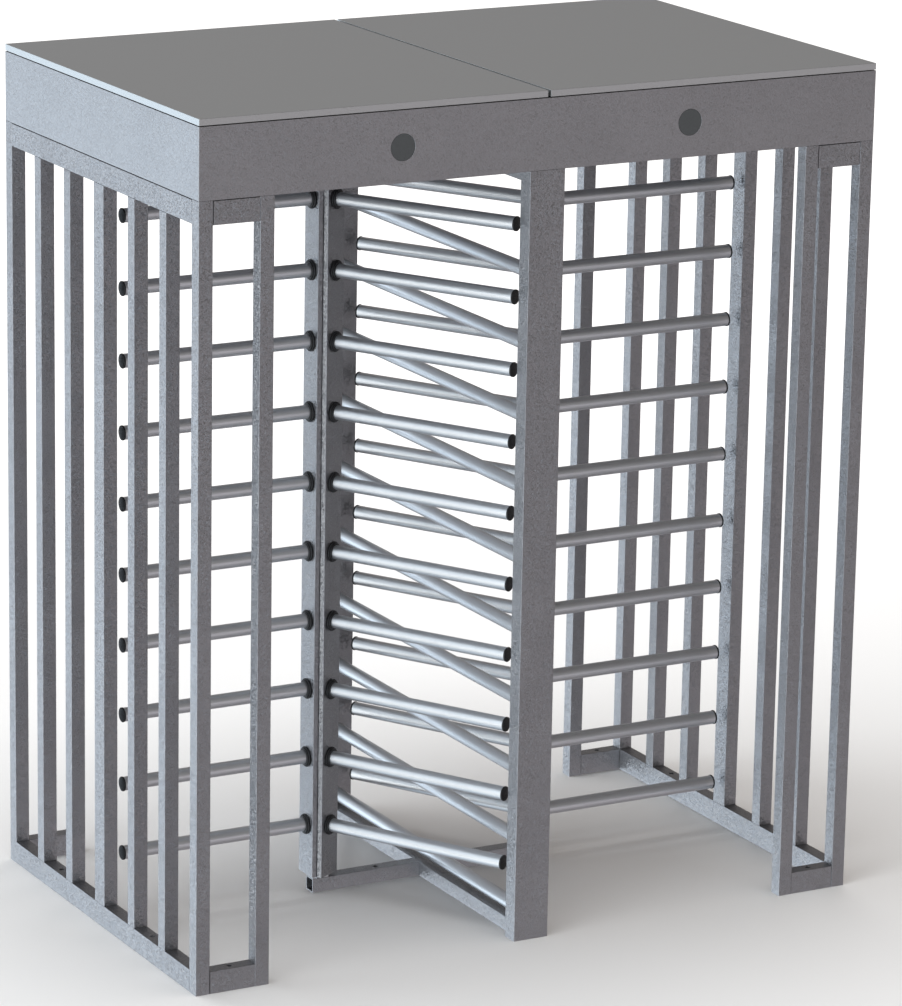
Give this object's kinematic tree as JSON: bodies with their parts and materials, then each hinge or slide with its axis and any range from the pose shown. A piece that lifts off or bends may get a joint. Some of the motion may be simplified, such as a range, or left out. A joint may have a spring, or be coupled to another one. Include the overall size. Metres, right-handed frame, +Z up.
{
  "type": "visitor counter turnstile",
  "caption": "Double full-height visitor turnstile: side-by-side rotors with wings of round steel arms, in a square-tube frame under a flat box header.",
  "frame": {"origin": "centre of the footprint on the floor", "axes": "+Z up, visitors walk along Y, the front with the two round lamps faces -Y, +X to the right seen from the front"},
  "size_m": [2, 1.2, 2.315],
  "materials": {
    "satin_steel": "satin, fine grain",
    "cover_steel": "satin sheet",
    "arm_steel": "polished satin",
    "machined_steel": "machined",
    "cast_housing": "cast",
    "motor_paint": "semi-gloss black",
    "lamp_lens": "smoked gloss",
    "control_casing": "matt grey",
    "black_rubber": "moulded"
  },
  "bodies": {
    "frame": {"left_front_corner_post": "satin_steel", "left_front_return": "satin_steel", "left_back_corner_post": "satin_steel", "left_back_return": "satin_steel", "left_bar_1": "satin_steel", "left_bar_2": "satin_steel", "left_bar_3": "satin_steel", "left_bar_4": "satin_steel", "left_middle_post": "satin_steel", "left_bottom_rail": "satin_steel", "left_top_rail": "satin_steel", "right_front_corner_post": "satin_steel", "right_front_return": "satin_steel", "right_back_corner_post": "satin_steel", "right_back_return": "satin_steel", "right_bar_1": "satin_steel", "right_bar_2": "satin_steel", "right_bar_3": "satin_steel", "right_bar_4": "satin_steel", "right_middle_post": "satin_steel", "right_bottom_rail": "satin_steel", "right_top_rail": "satin_steel", "front_centre_post": "satin_steel", "back_centre_comb": "satin_steel", "centre_base": "satin_steel", "centre_top_rail": "satin_steel", "header_front": "cover_steel", "header_back": "cover_steel", "left_header_panel": "cover_steel", "right_header_panel": "cover_steel", "lid_bridge": "cover_steel", "left_header_floor": "cover_steel", "right_header_floor": "cover_steel", "left_lamp": "lamp_lens", "left_top_bearing": "cast_housing", "left_bottom_pivot": "machined_steel", "left_gear_motor": "motor_paint", "right_lamp": "lamp_lens", "right_top_bearing": "cast_housing", "right_bottom_pivot": "machined_steel", "right_gear_motor": "motor_paint", "control_box": "control_casing"},
    "left_rotor": {"left_rotor_core": "satin_steel", "left_wing_1": "arm_steel", "left_wing_2": "arm_steel", "left_wing_3": "arm_steel", "left_drive_gear": "machined_steel", "left_lock_disc": "machined_steel"},
    "left_pinion": {"left_motor_pinion": "machined_steel"},
    "left_pawl": {"left_lock_pawl": "machined_steel"},
    "left_cover": {"left_lid": "cover_steel"},
    "right_rotor": {"right_rotor_core": "satin_steel", "right_wing_1": "arm_steel", "right_wing_2": "arm_steel", "right_wing_3": "arm_steel", "right_drive_gear": "machined_steel", "right_lock_disc": "machined_steel"},
    "right_pinion": {"right_motor_pinion": "machined_steel"},
    "right_pawl": {"right_lock_pawl": "machined_steel"},
    "right_cover": {"right_lid": "cover_steel"}
  },
  "joints": [
    {"name": "left_rotor_turn", "type": "hinge", "parent": "frame", "child": "left_rotor", "pos_m": [-0.338, 0, 1.1], "axis": [0, 0, 1], "continuous": true},
    {"name": "left_pinion_turn", "type": "hinge", "parent": "frame", "child": "left_pinion", "pos_m": [-0.338, 0.12, 2.1591], "axis": [0, 0, 1], "continuous": true},
    {"name": "left_pawl_swing", "type": "hinge", "parent": "frame", "child": "left_pawl", "pos_m": [-0.40251, -0.1, 2.1801], "axis": [0, 0, 1], "range_deg": [0, 9], "stiffness_Nm_per_rad": 0.4},
    {"name": "left_lid_lift", "type": "slide", "parent": "frame", "child": "left_cover", "axis": [0, 0, 1], "range_m": [0, 0.25]},
    {"name": "right_rotor_turn", "type": "hinge", "parent": "frame", "child": "right_rotor", "pos_m": [0.338, 0, 1.1], "axis": [0, 0, 1], "continuous": true},
    {"name": "right_pinion_turn", "type": "hinge", "parent": "frame", "child": "right_pinion", "pos_m": [0.338, 0.12, 2.1591], "axis": [0, 0, 1], "continuous": true},
    {"name": "right_pawl_swing", "type": "hinge", "parent": "frame", "child": "right_pawl", "pos_m": [0.40251, -0.1, 2.1801], "axis": [0, 0, -1], "range_deg": [0, 9], "stiffness_Nm_per_rad": 0.4},
    {"name": "right_lid_lift", "type": "slide", "parent": "frame", "child": "right_cover", "axis": [0, 0, 1], "range_m": [0, 0.25]}
  ],
  "couplings": [
    {"joint": "left_pinion_turn", "follows": "left_rotor_turn", "ratio": -3},
    {"joint": "right_pinion_turn", "follows": "right_rotor_turn", "ratio": -3}
  ]
}
